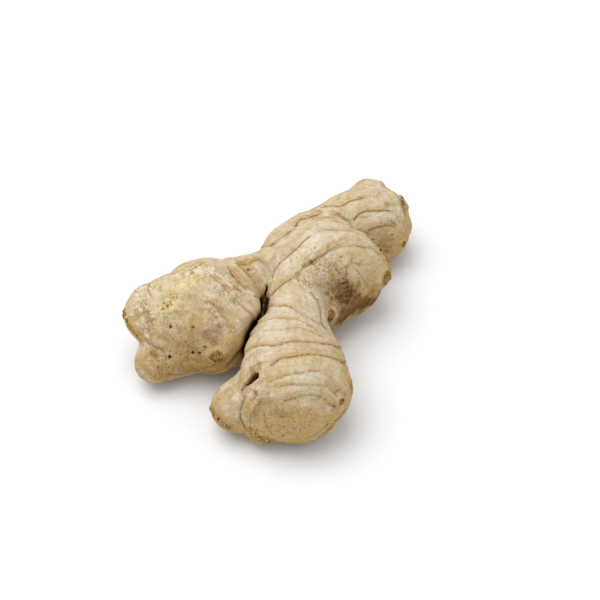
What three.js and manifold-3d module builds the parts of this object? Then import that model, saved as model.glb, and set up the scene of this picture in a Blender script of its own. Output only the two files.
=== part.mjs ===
// A fresh ginger root: one hand of four swollen lobes that grew out of each other, with blunt side shoots
// and small round buds, all of one body.
// Each lobe is a chain of spheres along a curve, with a domed end face. Its skin carries the scars of its
// scale leaves, which run round the lobe as rings: the skin rises slowly to a ring, then steps down.
// Units are millimetres and +Z is up. The root lies on three low spots, which are flat at Z = 0.

import * as THREE from "three";
import { mergeVertices } from "three/addons/utils/BufferGeometryUtils.js";
import Module from "manifold-3d";

// Relief of the skin
const RING_STEP = 0.8; // drop of the skin at a leaf scar
const RING_EDGE = 0.35; // half of the step's length along the lobe
const RING_BULGE = 0.5; // swelling of the skin between two scars
const RING_WAVER = 0.6; // how far a ring wanders along the lobe
const LUMP_HEIGHT = 0.6; // slow unevenness of the whole body
const CREASE_REACH = 7; // near another lobe's skin a lobe swells, which softens the crease between them
const CREASE_SWELL = 0.9;

// Fineness of the solid
const SPINE_SPHERES = 30;
const ROW_SPACING = 3.6; // longest distance between two rows of vertices along a lobe
const HIDDEN_ROWS = 3; // rows on the base of a lobe that grows out of another one
const CAP_ROWS = 4; // rows between the last ring and the end

// A lobe's spine points are [x, y, z, radius]. face is [point, outward direction, dome radius, rounding of
// its rim]. growth is the line that the rings run round, where it isn't the spine. Rings are distances
// along that line, and those past its end lie on the lobe's end. A lean slides the rings back on the
// lobe's left side, by that many millimetres at the line's start and by none at the distance after it.
// The skin is fully worked from the distance "shown" on, and what is before it lies in another lobe.
const LOBES = {
  rear: {
    spine: [[5, 26, 15.5, 10.2], [14, 33.5, 14.5, 11.2], [26, 39.8, 12.6, 12.8]],
    face: [[39.5, 43, 13], [0.9, 0.3, 0.1], 40, 5],
    growth: [[13.7, 44.2, 15.7], [22.3, 29.8, 13.1]],
    rings: [1, 8, 14, 17.8],
    shown: -4,
    sides: 36,
  },
  middle: {
    spine: [[-4, 21, 16, 9.2], [2, 17.5, 17.2, 12.8], [9, 12.5, 18.3, 15.6], [14, 9.5, 17.8, 15.6]],
    face: [[18.5, -1, 17], [0.5, -0.84, 0.1], 26, 6],
    growth: [[2, 22, 12.5], [14, 3, 18.3]],
    rings: [-1, 5.5, 15.5, 22.8, 25.5],
    shown: -5,
    sides: 42,
  },
  front: {
    spine: [
      [1, 7, 18.5, 11],
      [-1.6, -6, 18.5, 9.9],
      [-1.9, -17, 18, 11.1],
      [-2.2, -28, 17.6, 14.6],
      [-2, -41.5, 17.2, 17.2],
    ],
    face: [[-1, -57, 22], [0.03, -0.93, 0.36], 30, 7],
    rings: [28.5, 34.5, 38.5, 44.5, 50.3, 55, 57.8, 60.8],
    lean: [17, 45],
    shown: 4,
    sides: 40,
  },
  left: {
    spine: [[-4, 14.5, 16, 8.6], [-14, 8, 16.2, 9.2], [-24.5, -0.8, 16, 13.4], [-29.3, -10, 17, 17.8]],
    face: [[-37, -23, 22], [-0.35, -0.85, 0.4], 30, 6],
    rings: [20, 29.5, 35.5, 40.5, 44],
    shown: 4,
    sides: 40,
  },
  left_lip: { spine: [[-36, -7, 17, 12.4], [-49.5, -10, 17, 8.5]], rings: [17], shown: 0, sides: 20 },
  left_nub: { spine: [[-38, -16, 10, 9], [-47.3, -21.3, 8.5, 6.8]], rings: [9], shown: 0, sides: 18 },
  left_knob: { spine: [[-17, 3, 22, 7], [-12.5, -2, 22, 4.5]], rings: [], shown: 0, sides: 12 },
  front_shoulder: {
    spine: [[-10, -37.6, 12.5, 10.8], [-19.3, -42, 9.6, 8.9]],
    rings: [14],
    shown: 0,
    sides: 22,
  },
  front_bulge: { spine: [[0.5, -22, 16.5, 10], [4.5, -27, 17, 8.4]], rings: [], shown: 0, sides: 14 },
  front_toe: { spine: [[-8, -45, 10, 9], [-11.5, -48, 7.3, 6.5]], rings: [], shown: 0, sides: 16 },
  rear_bump: { spine: [[15.5, 41.2, 14.5, 8], [23.4, 48.2, 15, 7]], rings: [], shown: 0, sides: 14 },
  middle_under: { spine: [[9, 2, 12, 9], [8.5, -2.2, 12.5, 6]], rings: [], shown: 0, sides: 14 },
};

// Buds: [lobe, distance along it, angle round it from the top in degrees, radius, height above the skin]
const BUDS = [
  ["left", 48.7, -100, 3.3, 1.3],
  ["front", 56.2, -78, 1.9, 0.9],
  ["front_toe", 10.3, -59, 2.4, 0.5],
  ["middle_under", 9.7, -29, 2.7, 1],
  ["middle", 23.1, -101, 3.5, 1.4],
  ["rear", 19.2, -91, 2, 1],
  ["left_lip", 21.3, -11, 2.3, 0.7],
];
const BUD_SIDES = 12;

// A hole gnawed into the front lobe: [distance, angle, length round the lobe, width, depth]
const WOUND = [53.3, 51, 6.5, 2.4, 1.8];

const SKIN = new THREE.MeshStandardMaterial({ color: 0xc9b48a, roughness: 0.72, metalness: 0 });
const UP = new THREE.Vector3(0, 0, 1);
const vector = ([x, y, z]) => new THREE.Vector3(x, y, z);

// The larger of two values, with the corner between them rounded over the given width.
function smoothMax(a, b, width) {
  const share = THREE.MathUtils.clamp(0.5 + (0.5 * (a - b)) / width, 0, 1);
  return b + (a - b) * share + width * share * (1 - share);
}

// Slow unevenness of the body: two crossed waves of about 20 to 50 mm.
function lump(p) {
  const broad = Math.sin(p.x / 6.1 + 1.7 * Math.sin(p.y / 8.3)) * Math.cos(p.z / 6.7 + p.x / 11);
  const fine = Math.sin(p.y / 4.3 + p.z / 5.3 + 2) * Math.sin(p.x / 4.9 - p.z / 7.1);
  return LUMP_HEIGHT * (broad + 0.6 * fine);
}

class Lobe {
  constructor({ spine, face, growth, rings, lean, shown, sides }) {
    const line = new THREE.CatmullRomCurve3(spine.map(vector), false, "catmullrom", 0.5);
    const girth = spine.map((point) => new THREE.Vector3(point[3], 0, 0));
    const thickness = new THREE.CatmullRomCurve3(girth, false, "catmullrom", 0.5);
    this.spheres = [];
    for (let i = 0; i < SPINE_SPHERES; i++) {
      const share = i / (SPINE_SPHERES - 1);
      this.spheres.push({ centre: line.getPoint(share), radius: thickness.getPoint(share).x });
    }
    if (face) {
      const [point, out, dome, round] = face;
      this.face = { point: vector(point), out: vector(out).normalize(), dome, round };
    }
    this.line = growth ? new THREE.LineCurve3(...growth.map(vector)) : line;
    this.length = this.line.getLength();
    this.rings = rings;
    this.lean = lean ?? [0, 1];
    this.shown = shown;
    this.sides = sides;
    this.tipReach = this.reach(this.lineAt(this.length).centre, this.lineAt(this.length).along);
    this.baseReach = this.reach(this.lineAt(0).centre, this.lineAt(0).along.negate());
  }

  // Distance from the bare body, under 0 inside: the nearest sphere, then cut by the end face's dome.
  distance(p) {
    let nearest = Infinity;
    for (const { centre, radius } of this.spheres) {
      nearest = Math.min(nearest, p.distanceTo(centre) - radius);
    }
    if (!this.face) return nearest;
    const { point, out, dome, round } = this.face;
    const offset = p.clone().sub(point);
    const along = offset.dot(out);
    const sideways = offset.lengthSq() - along * along;
    const above = (along + sideways / (2 * dome)) / Math.sqrt(1 + sideways / (dome * dome));
    return smoothMax(nearest, above, round);
  }

  // The growth line's point and direction at a distance along it, held at its two ends.
  lineAt(distance) {
    const share = THREE.MathUtils.clamp(distance / this.length, 0, 1);
    return { centre: this.line.getPointAt(share), along: this.line.getTangentAt(share) };
  }

  // How far the bare body reaches from an inner point in a direction.
  reach(from, direction) {
    const p = new THREE.Vector3();
    let travelled = 0;
    for (let step = 0; step < 80; step++) {
      const gap = -this.distance(p.copy(from).addScaledVector(direction, travelled));
      travelled += gap;
      if (Math.abs(gap) < 1e-4) break;
    }
    return travelled;
  }

  // The inner point and outward direction for a distance along the lobe and an angle round it. Past
  // either end of the line the direction tips over, to point along the line at the lobe's very end.
  rayAt(distance, angle) {
    const { centre, along } = this.lineAt(distance);
    const beyond = THREE.MathUtils.clamp((distance - this.length) / this.tipReach, 0, 1);
    const before = THREE.MathUtils.clamp(-distance / this.baseReach, 0, 1);
    const tilt = Math.asin(beyond) - Math.asin(before);
    const top = UP.clone().addScaledVector(along, -UP.dot(along)).normalize();
    const side = along.clone().cross(top);
    const direction = top.multiplyScalar(Math.cos(angle)).addScaledVector(side, Math.sin(angle));
    direction.multiplyScalar(Math.cos(tilt)).addScaledVector(along, Math.sin(tilt));
    return { centre, direction };
  }

  // Height of the rings' relief: a slow rise and a swelling up to each ring, then its step down.
  relief(distance) {
    const before = this.rings.findLast((ring) => ring <= distance);
    const after = this.rings.find((ring) => ring > distance);
    if (before === undefined || after === undefined) return 0;
    const share = (distance - before) / (after - before);
    return RING_STEP * (share * share - 0.35) + RING_BULGE * Math.sin(Math.PI * share);
  }

  // How far a ring is moved along the lobe at an angle, by the lobe's lean and by a slow waver. There is
  // none at the lobe's ends, where the rings close up.
  shift(distance, angle) {
    const [amount, fade] = this.lean;
    const leaning = -amount * Math.max(0, 1 - Math.max(distance, 0) / fade) * Math.sin(angle);
    const wave = Math.sin(2 * angle + distance / 7) + 0.6 * Math.sin(5 * angle - distance / 4);
    const toEnd = Math.min(this.length + this.tipReach - distance, distance + this.baseReach);
    return (leaning + RING_WAVER * wave) * Math.min(1, toEnd / 10);
  }

  // A point of the finished skin.
  skinPoint(distance, angle, others) {
    const { centre, direction } = this.rayAt(distance + this.shift(distance, angle), angle);
    const p = centre.clone().addScaledVector(direction, this.reach(centre, direction));
    let height = this.relief(distance) + lump(p);
    const gap = Math.min(...others.map((lobe) => Math.abs(lobe.distance(p))));
    if (gap < CREASE_REACH) height += CREASE_SWELL * (1 - (gap / CREASE_REACH) ** 2) ** 2;
    return p.addScaledVector(direction, height);
  }

  // Distances of the rows of vertices: a row each side of every ring's step, and others between.
  rowDistances() {
    const end = this.length + this.tipReach;
    const stops = [this.shown, ...this.rings.filter((ring) => ring > this.shown), end];
    const rows = [];
    for (let row = 1; row < HIDDEN_ROWS; row++) {
      const share = Math.sin((row / HIDDEN_ROWS) * (Math.PI / 2)) ** 2;
      rows.push(-this.baseReach + (this.shown + this.baseReach) * share);
    }
    for (let i = 1; i < stops.length; i++) {
      const atEnd = i === stops.length - 1;
      const from = stops[i - 1] + (i > 1 ? RING_EDGE : 0);
      const to = stops[i] - (atEnd ? 0 : RING_EDGE);
      const count = Math.max(atEnd ? CAP_ROWS : 1, Math.ceil((to - from) / ROW_SPACING));
      for (let row = 0; row < count; row++) {
        rows.push(from + ((to - from) * row) / count);
      }
      if (!atEnd) rows.push(to);
    }
    return rows;
  }

  // The lobe's closed skin: its rows of vertices, closed by a fan at each end.
  geometry(others) {
    const rows = this.rowDistances();
    const points = [this.skinPoint(-this.baseReach, 0, others)];
    for (const distance of rows) {
      for (let side = 0; side < this.sides; side++) {
        points.push(this.skinPoint(distance, (side / this.sides) * 2 * Math.PI, others));
      }
    }
    points.push(this.skinPoint(this.length + this.tipReach, 0, others));
    const faces = [];
    const last = points.length - 1;
    const at = (row, side) => 1 + row * this.sides + (side % this.sides);
    for (let side = 0; side < this.sides; side++) {
      faces.push(0, at(0, side + 1), at(0, side));
      for (let row = 0; row + 1 < rows.length; row++) {
        faces.push(at(row, side), at(row, side + 1), at(row + 1, side + 1));
        faces.push(at(row, side), at(row + 1, side + 1), at(row + 1, side));
      }
      faces.push(last, at(rows.length - 1, side), at(rows.length - 1, side + 1));
    }
    const geometry = new THREE.BufferGeometry().setFromPoints(points);
    geometry.setIndex(faces);
    return geometry;
  }
}

const lobes = Object.fromEntries(Object.entries(LOBES).map(([name, shape]) => [name, new Lobe(shape)]));

// The skin's point, outward direction and lengthwise direction at a place on a lobe.
function placeOn(name, distance, degrees) {
  const lobe = lobes[name];
  const angle = THREE.MathUtils.degToRad(degrees);
  const here = lobe.skinPoint(distance, angle, []);
  const ahead = lobe.skinPoint(distance + 0.5, angle, []).sub(here);
  const round = lobe.skinPoint(distance, angle + 0.05, []).sub(here);
  return { here, out: ahead.clone().cross(round).negate().normalize(), ahead: ahead.normalize() };
}

// A bud: a collar round a groove, with a blunt tip in the middle. It is sunk into the skin.
function budGeometry([name, distance, degrees, radius, height]) {
  const profile = [
    [0, -2.5],
    [radius, -2.5],
    [radius, 0],
    [radius * 0.88, height * 0.75],
    [radius * 0.62, height * 0.9],
    [radius * 0.48, height * 0.55],
    [radius * 0.22, height * 1.2],
    [0, height * 1.3],
  ].map(([x, y]) => new THREE.Vector2(x, y));
  const { here, out } = placeOn(name, distance, degrees);
  const geometry = new THREE.LatheGeometry(profile, BUD_SIDES);
  geometry.applyQuaternion(new THREE.Quaternion().setFromUnitVectors(new THREE.Vector3(0, 1, 0), out));
  return geometry.translate(...here);
}

function woundGeometry([distance, degrees, length, width, depth]) {
  const { here, out, ahead } = placeOn("front", distance, degrees);
  const across = out.clone().cross(ahead).normalize();
  const frame = new THREE.Matrix4().makeBasis(ahead, across, out).setPosition(here);
  const geometry = new THREE.SphereGeometry(1, 12, 8).scale(width / 2, length / 2, depth);
  return geometry.rotateZ(0.2).applyMatrix4(frame);
}

// The joined solid
const wasm = await Module();
wasm.setup();

function toSolid(geometry) {
  const bare = geometry.clone();
  bare.deleteAttribute("normal");
  bare.deleteAttribute("uv");
  const merged = mergeVertices(bare, 1e-5);
  const mesh = new wasm.Mesh({
    numProp: 3,
    vertProperties: new Float32Array(merged.attributes.position.array),
    triVerts: new Uint32Array(merged.index.array),
  });
  return new wasm.Manifold(mesh);
}

const grown = Object.values(lobes).map((lobe) => {
  return toSolid(lobe.geometry(Object.values(lobes).filter((other) => other !== lobe)));
});
const ground = new THREE.BoxGeometry(300, 300, 40).translate(0, 0, -20);
const solid = wasm.Manifold.union([...grown, ...BUDS.map(budGeometry).map(toSolid)])
  .subtract(toSolid(woundGeometry(WOUND)))
  .subtract(toSolid(ground));

const joined = solid.getMesh();
const body = new THREE.BufferGeometry();
body.setAttribute("position", new THREE.BufferAttribute(new Float32Array(joined.vertProperties), 3));
body.setIndex(new THREE.BufferAttribute(new Uint32Array(joined.triVerts), 1));
body.computeBoundingBox();
const box = body.boundingBox;
body.translate(-(box.min.x + box.max.x) / 2, -(box.min.y + box.max.y) / 2, -box.min.z);
body.computeVertexNormals();

const gingerRoot = new THREE.Mesh(body, SKIN);
gingerRoot.name = "ginger_root";
const root = new THREE.Group();
root.name = "root";
root.add(gingerRoot);
export default root;
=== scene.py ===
"""A fresh ginger root, lying on a pale floor: one hand of four swollen lobes with side shoots and buds.

The root is the level surface of a smooth sum of lobes. Every point of it gets a place on each lobe, as a
distance along the lobe and an angle round it. Rings, buds, wrinkles and scars are heights at such places.
What the photograph shows one by one, such as a ring's course, a crack or a stain, is written as the pixels
that it passes, and is laid on the skin that the camera sees there. Lengths are millimetres until the mesh
is made, in the lobes' own coordinates.
"""

import bpy
import numpy as np
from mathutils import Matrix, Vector


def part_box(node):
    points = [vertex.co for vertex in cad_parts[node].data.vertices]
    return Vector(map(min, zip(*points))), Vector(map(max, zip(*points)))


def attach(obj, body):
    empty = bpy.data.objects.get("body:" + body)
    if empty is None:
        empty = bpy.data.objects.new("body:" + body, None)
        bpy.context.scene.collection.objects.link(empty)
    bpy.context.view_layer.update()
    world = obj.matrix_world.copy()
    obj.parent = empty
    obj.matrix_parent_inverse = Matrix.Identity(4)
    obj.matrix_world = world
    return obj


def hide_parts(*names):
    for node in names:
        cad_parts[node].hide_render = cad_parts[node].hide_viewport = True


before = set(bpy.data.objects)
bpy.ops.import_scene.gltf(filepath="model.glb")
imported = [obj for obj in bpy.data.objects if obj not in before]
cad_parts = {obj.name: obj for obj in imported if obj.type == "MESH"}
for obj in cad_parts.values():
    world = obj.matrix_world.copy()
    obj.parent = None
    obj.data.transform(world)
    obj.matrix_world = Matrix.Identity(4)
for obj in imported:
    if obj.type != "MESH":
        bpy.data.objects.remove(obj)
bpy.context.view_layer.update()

MM = 0.001
NODE = "ginger_root"

# Fineness of the root's mesh: it is found on a grid of this spacing, and each face is then split in four
GRID = 1.02
BLOCK = 8
SPINE_SPHERES = 30

# Distances in body_distance: the largest that it gives, and how much farther off than the skin found so
# far a lobe's box may be for the lobe to count
FAR = 12.0
BOX_MARGIN = 9.0

# How sharply the skin passes from one lobe to the next, in millimetres
LOBE_BLEND = 0.7

# The photograph's camera: its height angle, distance from the point it aims at, and focal length in pixels
ELEVATION = np.radians(45)
CAMERA_DISTANCE = 660.0
AIM = np.array([0, 0, 15.0])
FOCAL_PIXELS = 2000.0
PHOTO_SIZE = 600

# Rays of that camera: how far short of the aim they start, their steps, the least step, and the distance
# from the skin at which they stop
RAY_START = 90.0
RAY_STEPS = 45
RAY_LEAST = 0.05
RAY_CLOSE = 0.01

# Skin counts as hidden this far behind the nearest skin in a square of the photograph this many pixels wide
HIDDEN_DEPTH = 4.0
SQUARE = 2

# Relief of the skin, how far out other skin shelters it, and the lowest level, in millimetres
RING_STEP = 0.7
RING_EDGE = 0.4
RING_BULGE = 0.5
RING_WAVER = 0.6
RING_GROOVE = 0.22
LUMP_HEIGHT = 0.6
SHELTER_REACH = 3.5
FLOOR_LEVEL = 0.0

# The light that the skin sends back, as a share of its photographed colours under this lighting
SKIN_SHARE = 0.82

# The floor's colour and half width in metres, the light from all round, and the soft light from above
FLOOR_COLOUR = (0.765, 0.775, 0.795, 1)
FLOOR_HALF = 3.0
SKY_STRENGTH = 0.85
SUN_STRENGTH = 1.9
SUN_ANGLE = np.radians(55)
SUN_DIRECTION = (0.3, -0.1, -0.95)

# The root's lobes. spine: points [x, y, z, radius]. face: point, outward direction, dome radius and
# rounding of the end face. growth: the line that the rings run round, where it isn't the spine. rings:
# distances along that line, past its end on the lobe's end. lean: how far the rings slide back on the
# lobe's left at the line's start, and the distance where that ends. fillet: width of the crease to the
# lobes before it, as one or two pairs of y and the width there.
LOBES = {
    "rear": dict(
        spine=[(5, 26, 15.5, 10.2), (14, 33.5, 14.5, 11.2), (26, 39.8, 12.6, 12.8)],
        face=((39.5, 43, 13), (0.9, 0.3, 0.1), 40, 5),
        growth=[(13.7, 44.2, 15.7), (22.3, 29.8, 13.1)],
        rings=[1, 8, 14, 17.8],
    ),
    "middle": dict(
        spine=[(-4, 21, 16, 9.2), (2, 17.5, 17.2, 12.8), (9, 12.5, 18.3, 15.6), (14, 9.5, 17.8, 15.6)],
        face=((18.5, -1, 17), (0.5, -0.84, 0.1), 26, 6),
        growth=[(2, 22, 12.5), (14, 3, 18.3)],
        rings=[-1, 5.5, 15.5, 22.8, 25.5],
        fillet=[(0, 5)],
    ),
    "front": dict(
        spine=[
            (1, 7, 18.5, 11),
            (-1.6, -6, 18.5, 9.9),
            (-1.9, -17, 18, 11.1),
            (-2.2, -28, 17.6, 14.6),
            (-2, -41.5, 17.2, 17.2),
        ],
        face=((-1, -57, 22), (0.03, -0.93, 0.36), 30, 7),
        rings=[28.5, 34.5, 38.5, 44.5, 50.3, 55, 57.8, 60.8],
        lean=(17, 45),
        fillet=[(-14, 3), (-3, 9)],
    ),
    "left": dict(
        spine=[(-4, 14.5, 16, 8.6), (-14, 8, 16.2, 9.2), (-24.5, -0.8, 16, 13.4), (-29.3, -10, 17, 17.8)],
        face=((-37, -23, 22), (-0.35, -0.85, 0.4), 30, 6),
        rings=[20, 29.5, 35.5, 40.5, 44],
        fillet=[(-6, 1), (4, 3.5)],
    ),
    "left_lip": dict(spine=[(-36, -7, 17, 12.4), (-49.5, -10, 17, 8.5)], rings=[17], fillet=[(0, 9)]),
    "left_nub": dict(spine=[(-38, -16, 10, 9), (-47.3, -21.3, 8.5, 6.8)], rings=[9]),
    "left_knob": dict(spine=[(-17, 3, 22, 7), (-12.5, -2, 22, 4.5)], fillet=[(0, 2.5)]),
    "front_shoulder": dict(
        spine=[(-10, -37.6, 12.5, 10.8), (-19.3, -42, 9.6, 8.9)], rings=[14], fillet=[(0, 2)]
    ),
    "front_bulge": dict(spine=[(0.5, -22, 16.5, 10), (4.5, -27, 17, 8.4)]),
    "front_toe": dict(spine=[(-8, -45, 10, 9), (-11.5, -48, 7.3, 6.5)]),
    "rear_bump": dict(spine=[(15.5, 41.2, 14.5, 8), (23.4, 48.2, 15, 7)]),
    "middle_under": dict(spine=[(9, 2, 12, 9), (8.5, -2.2, 12.5, 6)]),
}

# Where the worn end of each main lobe begins, as a distance along the lobe
FACE_RIMS = {"front": 60.5, "left": 47, "middle": 26, "rear": 19}

# Buds: pixel, radius and height
BUDS = [
    ((216, 353), 2.5, 1.1),
    ((340, 401), 1.5, 0.6),
    ((328, 315), 2.8, 1),
    ((382, 277), 3.1, 1.1),
    ((402, 243), 1.3, 0.8),
    ((125, 314), 1.5, 0.5),
]

# The wound in the front lobe: its middle's pixel, length and width, depth and turn in degrees
WOUND = ((253, 380), 7, 2.3, 2.6, 43)

# Small forms of the skin: height, half width, and the pixels that they pass
FORMS = [
    (1.4, 8, [(366, 181), (375, 180)]),
    (-3.2, 3.4, [(389, 187), (393, 189)]),
    (0.6, 2, [(381, 184)]),
    (0.8, 2.2, [(400, 197), (408, 208)]),
    (1, 1.4, [(370, 237), (376, 244), (382, 252), (388, 262)]),
    (1.6, 4.2, [(387, 271), (387, 279)]),
    (-1.3, 3, [(157, 354)]),
    (0.6, 1.6, [(146, 336), (155, 340), (164, 345)]),
    (0.5, 1, [(215, 414), (222, 421), (229, 427)]),
    (1.3, 6.5, [(143, 291), (151, 286), (159, 281)]),
    (-1.4, 6.5, [(178, 265), (188, 262)]),
    (-0.5, 3, [(345, 290), (338, 296)]),
    (0.5, 2, [(262, 398), (254, 408), (249, 420)]),
    (-0.6, 2, [(268, 403), (259, 413), (255, 424)]),
    (0.5, 1.6, [(300, 216), (310, 213), (319, 211)]),
    (1.7, 4.6, [(254, 303), (253, 311)]),
    (0.4, 1.6, [(253, 434), (260, 441), (270, 444)]),
    (-0.5, 1.2, [(262, 313), (256, 323), (250, 335), (243, 346), (236, 356), (229, 365)]),
    (1.3, 5.5, [(244, 316), (240, 330), (235, 342), (228, 352)]),
    (0.5, 1.5, [(211, 335), (214, 341)]),
]

# Rings that the photograph shows: strength, and the pixels along it, with the lobe's tip on the right
RINGS_SEEN = [
    (0.85, [(266, 309), (272, 305), (280, 306), (288, 307), (296, 312), (304, 318), (313, 322), (322, 328)]),
    (0.6, [(258, 324), (268, 322), (280, 320), (295, 321), (306, 326), (316, 331), (324, 336)]),
    (0.45, [(253, 340), (262, 334), (274, 331), (286, 330), (298, 329), (312, 333), (326, 340)]),
    (0.75, [(245, 356), (251, 351), (260, 347), (276, 345), (292, 342), (308, 343), (324, 345), (341, 349)]),
    (0.9, [(266, 370), (272, 365), (282, 359), (296, 356), (311, 355), (325, 357), (338, 362), (347, 365)]),
    (0.5, [(268, 384), (278, 378), (290, 375), (303, 373), (313, 371), (321, 372)]),
    (0.45, [(276, 389), (286, 385), (300, 385), (314, 385), (325, 386), (331, 390), (337, 397)]),
    (0.7, [(282, 401), (292, 398), (303, 395), (313, 395), (321, 398), (329, 403), (337, 409)]),
    (0.3, [(272, 281), (276, 272), (281, 263), (290, 254), (297, 248), (304, 241), (313, 235)]),
    (0.4, [(313, 235), (323, 231), (336, 230), (347, 230), (356, 233), (362, 236)]),
    (0.5, [(268, 297), (276, 290), (284, 284), (293, 278), (301, 271), (311, 263), (319, 258)]),
    (0.5, [(319, 258), (328, 252), (337, 248), (348, 246), (361, 246), (371, 248), (381, 255)]),
    (0.35, [(346, 263), (356, 263), (366, 264), (377, 264)]),
    (0.6, [(259, 248), (268, 246), (275, 244), (284, 237), (291, 231), (297, 226)]),
    (0.5, [(318, 208), (329, 206), (337, 207), (344, 206), (349, 203), (357, 201), (366, 199), (377, 198)]),
    (0.5, [(352, 223), (356, 218), (361, 214), (368, 212), (380, 211), (393, 211)]),
    (0.6, [(366, 232), (372, 229), (379, 227), (388, 226), (399, 228)]),
    (1, [(222, 262), (230, 270), (238, 279), (245, 286), (251, 290)]),
    (0.7, [(226, 294), (236, 302), (246, 312), (252, 322), (252, 332)]),
    (0.55, [(205, 299), (214, 305), (222, 314), (229, 325), (234, 338)]),
    (0.5, [(213, 264), (223, 275), (235, 287), (246, 298)]),
    (0.4, [(204, 268), (215, 279), (227, 290), (238, 303)]),
    (0.5, [(237, 263), (247, 273), (254, 282), (258, 290)]),
]

# Creases and cracks: half width, strength, and the pixels along it. Their dark lines are partly the skin's
# cracks and partly painted shadow in the creases; at strength 0.9 and over they are deep gaps, whose shadow
# is painted nearly black.
CRACKS = [
    (0.4, 0.3, [(333, 212), (339, 215), (345, 220), (351, 225), (358, 229), (366, 233)]),
    (0.2, 0.5, [(272, 281), (276, 272), (281, 263), (290, 254), (297, 248), (304, 241), (313, 235)]),
    (0.2, 0.4, [(318, 208), (329, 206), (337, 207), (344, 206), (349, 203), (357, 201), (366, 199)]),
    (0.2, 0.4, [(352, 223), (356, 218), (361, 214), (368, 212), (380, 211), (393, 211)]),
    (0.2, 0.35, [(366, 232), (372, 229), (379, 227), (388, 226), (397, 227)]),
    (0.2, 0.4, [(269, 297), (276, 290), (284, 284), (293, 278)]),
    (0.2, 0.4, [(303, 269), (311, 263), (319, 258), (328, 252)]),
    (0.5, 1, [(320, 320), (324, 324), (328, 330)]),
    (0.4, 0.8, [(366, 233), (372, 239), (378, 246), (382, 253), (387, 262)]),
    (0.25, 0.4, [(316, 221), (327, 220), (337, 222), (345, 224)]),
    (0.4, 0.5, [(310, 291), (316, 301), (320, 311), (322, 320)]),
    (0.5, 1, [(267, 283), (267, 289), (265, 295), (264, 302)]),
    (0.6, 1, [(262, 311), (257, 320), (251, 332), (244, 344), (236, 355), (229, 364)]),
    (0.35, 0.5, [(247, 395), (242, 403), (240, 412), (241, 421), (244, 429), (247, 434)]),
    (0.3, 0.25, [(273, 390), (266, 396), (259, 404), (253, 413), (249, 423), (248, 430)]),
    (0.35, 0.25, [(266, 412), (264, 420), (267, 428), (273, 437)]),
    (0.3, 0.5, [(331, 422), (325, 428), (315, 434), (305, 439)]),
    (0.25, 0.4, [(335, 424), (327, 431), (318, 437), (309, 441)]),
    (0.3, 0.6, [(343, 411), (339, 418), (334, 424)]),
    (0.25, 0.7, [(241, 391), (246, 387), (249, 384)]),
    (0.25, 0.6, [(252, 389), (257, 392), (260, 397)]),
    (0.25, 0.5, [(260, 389), (257, 392), (253, 396)]),
    (0.25, 0.6, [(333, 394), (337, 391), (341, 389)]),
    (0.3, 0.7, [(333, 404), (336, 408)]),
    (0.25, 0.5, [(345, 264), (347, 271), (346, 279)]),
    (0.25, 0.35, [(353, 266), (358, 271), (363, 279), (369, 287)]),
    (0.25, 0.35, [(296, 272), (303, 277), (307, 284)]),
    (0.3, 0.6, [(310, 264), (313, 261)]),
    (0.3, 0.5, [(327, 253), (327, 249), (330, 245)]),
    (0.3, 0.6, [(336, 243), (339, 247)]),
    (0.3, 0.5, [(390, 219), (394, 223), (399, 227)]),
    (0.25, 0.5, [(359, 184), (365, 182), (370, 181)]),
    (0.35, 0.4, [(146, 341), (153, 346), (161, 349), (167, 354)]),
    (0.3, 0.5, [(188, 271), (196, 268), (204, 264)]),
    (0.3, 0.5, [(151, 277), (163, 272), (176, 268)]),
    (0.25, 0.5, [(152, 285), (150, 292), (153, 298)]),
    (0.25, 0.45, [(163, 350), (166, 356), (165, 363)]),
    (0.3, 0.4, [(166, 373), (180, 374), (195, 372), (207, 367), (218, 361)]),
    (0.25, 0.5, [(300, 272), (297, 278), (300, 284)]),
    (0.35, 0.7, [(250, 297), (257, 300), (262, 306), (261, 313), (255, 318)]),
    (0.25, 0.3, [(233, 263), (243, 265), (254, 262), (262, 258)]),
    (0.3, 0.93, [(228, 270), (236, 278), (242, 285), (248, 290)]),
    (0.3, 0.6, [(209, 407), (213, 411), (218, 416), (223, 420), (226, 426), (233, 430)]),
]

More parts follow.
